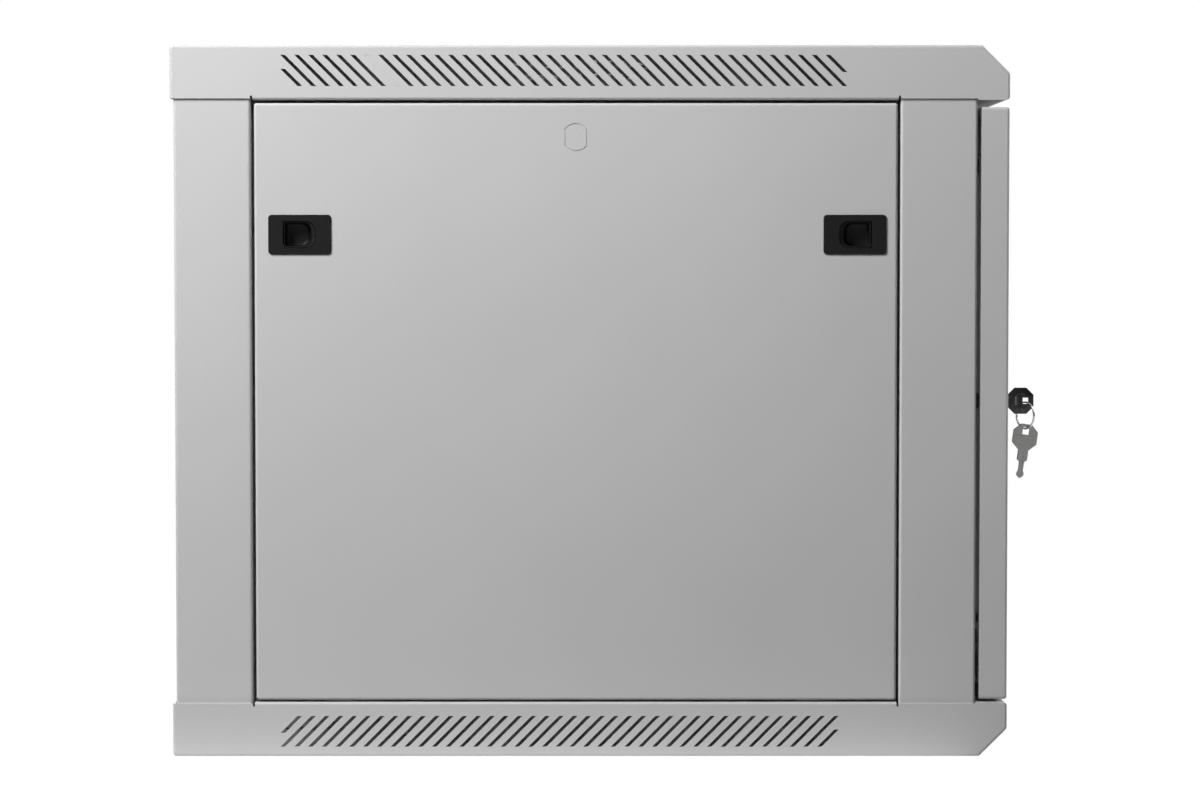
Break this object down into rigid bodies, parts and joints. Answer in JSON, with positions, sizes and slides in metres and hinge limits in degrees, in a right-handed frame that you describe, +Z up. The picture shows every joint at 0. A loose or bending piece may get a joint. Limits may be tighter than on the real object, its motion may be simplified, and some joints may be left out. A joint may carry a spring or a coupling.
{
  "type": "wall mount network cabinet",
  "caption": "Wall mount rack cabinet with a hinged glass door, tilting side panels held by slide latches, and sliding equipment rails.",
  "frame": {"origin": "centre of the wall fixing pattern in the back panel's wall face, halfway up the cabinet", "axes": "+Z up, the door faces -Y, the wall is Y = 0, and -X is the left side seen from the door"},
  "size_m": [0.6, 0.6246, 0.51],
  "materials": {
    "cover_paint": "fine textured powder coat",
    "frame_paint": "fine textured powder coat",
    "panel_paint": "fine textured powder coat",
    "door_paint": "fine textured powder coat",
    "rail_paint": "fine textured powder coat",
    "zinc_fastener": "bright zinc plate",
    "strip_zinc": "galvanised sheet",
    "hinge_steel": "zinc plated",
    "spring_steel": "drawn wire",
    "nylon": "natural nylon",
    "door_glass": "smoked tempered pane",
    "gasket_rubber": "matte",
    "bumper_rubber": "matte",
    "latch_plastic": "fine grained",
    "lock_metal": "satin nickel plate",
    "barrel_metal": "satin nickel plate",
    "key_metal": "nickel plated",
    "key_plastic": "moulded",
    "ring_steel": "bright wire"
  },
  "bodies": {
    "cabinet": {"top_cover": "cover_paint", "bottom_cover": "cover_paint", "top_cable_cover": "cover_paint", "bottom_cable_cover": "cover_paint", "cable_cover_screws": "zinc_fastener", "back_panel": "frame_paint", "back_panel_screws": "zinc_fastener", "bracket_screws": "zinc_fastener", "bracket_nuts": "zinc_fastener", "earth_stud": "zinc_fastener", "door_bumpers": "bumper_rubber", "lower_hinge_pin": "hinge_steel", "hinge_washer": "nylon", "front_left_post": "frame_paint", "front_right_post": "frame_paint", "rear_left_post": "frame_paint", "rear_right_post": "frame_paint", "upper_left_bracket": "rail_paint", "upper_right_bracket": "rail_paint", "lower_left_bracket": "rail_paint", "lower_right_bracket": "rail_paint"},
    "door": {"door_frame": "door_paint", "door_glass": "door_glass", "glass_gasket": "gasket_rubber", "glass_retainers": "strip_zinc", "retainer_nuts": "zinc_fastener", "lower_hinge_bush": "nylon", "upper_hinge_guide": "strip_zinc", "upper_hinge_spring": "spring_steel", "lock_housing": "lock_metal", "lock_nut": "lock_metal"},
    "upper_pin": {"upper_hinge_pin": "hinge_steel"},
    "lock_plug": {"lock_barrel": "barrel_metal", "lock_cam": "lock_metal", "cam_screw": "zinc_fastener"},
    "key": {"key_blade": "key_metal", "key_head": "key_plastic"},
    "ring": {"key_ring": "ring_steel"},
    "second_key": {"spare_key": "key_metal"},
    "left_panel": {"left_side_panel": "panel_paint", "front_left_latch_housing": "latch_plastic", "rear_left_latch_housing": "latch_plastic"},
    "front_left_latch": {"front_left_latch_slider": "latch_plastic"},
    "rear_left_latch": {"rear_left_latch_slider": "latch_plastic"},
    "right_panel": {"right_side_panel": "panel_paint", "front_right_latch_housing": "latch_plastic", "rear_right_latch_housing": "latch_plastic"},
    "front_right_latch": {"front_right_latch_slider": "latch_plastic"},
    "rear_right_latch": {"rear_right_latch_slider": "latch_plastic"},
    "front_left_rail": {"front_left_rail": "rail_paint", "front_left_rail_bolts": "zinc_fastener"},
    "front_right_rail": {"front_right_rail": "rail_paint", "front_right_rail_bolts": "zinc_fastener"},
    "rear_left_rail": {"rear_left_rail": "rail_paint", "rear_left_rail_bolts": "zinc_fastener"},
    "rear_right_rail": {"rear_right_rail": "rail_paint", "rear_right_rail_bolts": "zinc_fastener"}
  },
  "joints": [
    {"name": "door_swing", "type": "hinge", "parent": "cabinet", "child": "door", "pos_m": [0.2915, -0.591, 0], "axis": [0, 0, 1], "range_deg": [0, 180]},
    {"name": "upper_pin_pull", "type": "slide", "parent": "door", "child": "upper_pin", "axis": [0, 0, -1], "range_m": [0, 0.008], "stiffness_N_per_m": 500, "springref_m": -0.004, "deforming": ["upper_hinge_spring"]},
    {"name": "lock_turn", "type": "hinge", "parent": "door", "child": "lock_plug", "pos_m": [-0.274, -0.58, 0], "axis": [0, 1, 0], "range_deg": [0, 90]},
    {"name": "key_pull", "type": "slide", "parent": "lock_plug", "child": "key", "axis": [0, -1, 0], "range_m": [0, 0.025]},
    {"name": "ring_swing", "type": "hinge", "parent": "key", "child": "ring", "pos_m": [-0.274, -0.6152, -0.00105], "axis": [1, 0, 0], "range_deg": [-20, 6]},
    {"name": "second_key_swing", "type": "hinge", "parent": "ring", "child": "second_key", "pos_m": [-0.274, -0.6152, -0.02025], "axis": [1, 0, 0], "range_deg": [-20, 3]},
    {"name": "left_panel_tilt", "type": "hinge", "parent": "cabinet", "child": "left_panel", "pos_m": [-0.2985, -0.29, -0.2145], "axis": [0, -1, 0], "range_deg": [0, 25]},
    {"name": "front_left_latch_slide", "type": "slide", "parent": "left_panel", "child": "front_left_latch", "axis": [0, -1, 0], "range_m": [0, 0.0075]},
    {"name": "rear_left_latch_slide", "type": "slide", "parent": "left_panel", "child": "rear_left_latch", "axis": [0, 1, 0], "range_m": [0, 0.0075]},
    {"name": "right_panel_tilt", "type": "hinge", "parent": "cabinet", "child": "right_panel", "pos_m": [0.2985, -0.29, -0.2145], "axis": [0, 1, 0], "range_deg": [0, 25]},
    {"name": "front_right_latch_slide", "type": "slide", "parent": "right_panel", "child": "front_right_latch", "axis": [0, -1, 0], "range_m": [0, 0.0075]},
    {"name": "rear_right_latch_slide", "type": "slide", "parent": "right_panel", "child": "rear_right_latch", "axis": [0, 1, 0], "range_m": [0, 0.0075]},
    {"name": "front_left_rail_slide", "type": "slide", "parent": "cabinet", "child": "front_left_rail", "axis": [0, 1, 0], "range_m": [0, 0.06]},
    {"name": "front_right_rail_slide", "type": "slide", "parent": "cabinet", "child": "front_right_rail", "axis": [0, 1, 0], "range_m": [0, 0.06]},
    {"name": "rear_left_rail_slide", "type": "slide", "parent": "cabinet", "child": "rear_left_rail", "axis": [0, -1, 0], "range_m": [0, 0.12]},
    {"name": "rear_right_rail_slide", "type": "slide", "parent": "cabinet", "child": "rear_right_rail", "axis": [0, -1, 0], "range_m": [0, 0.12]}
  ]
}
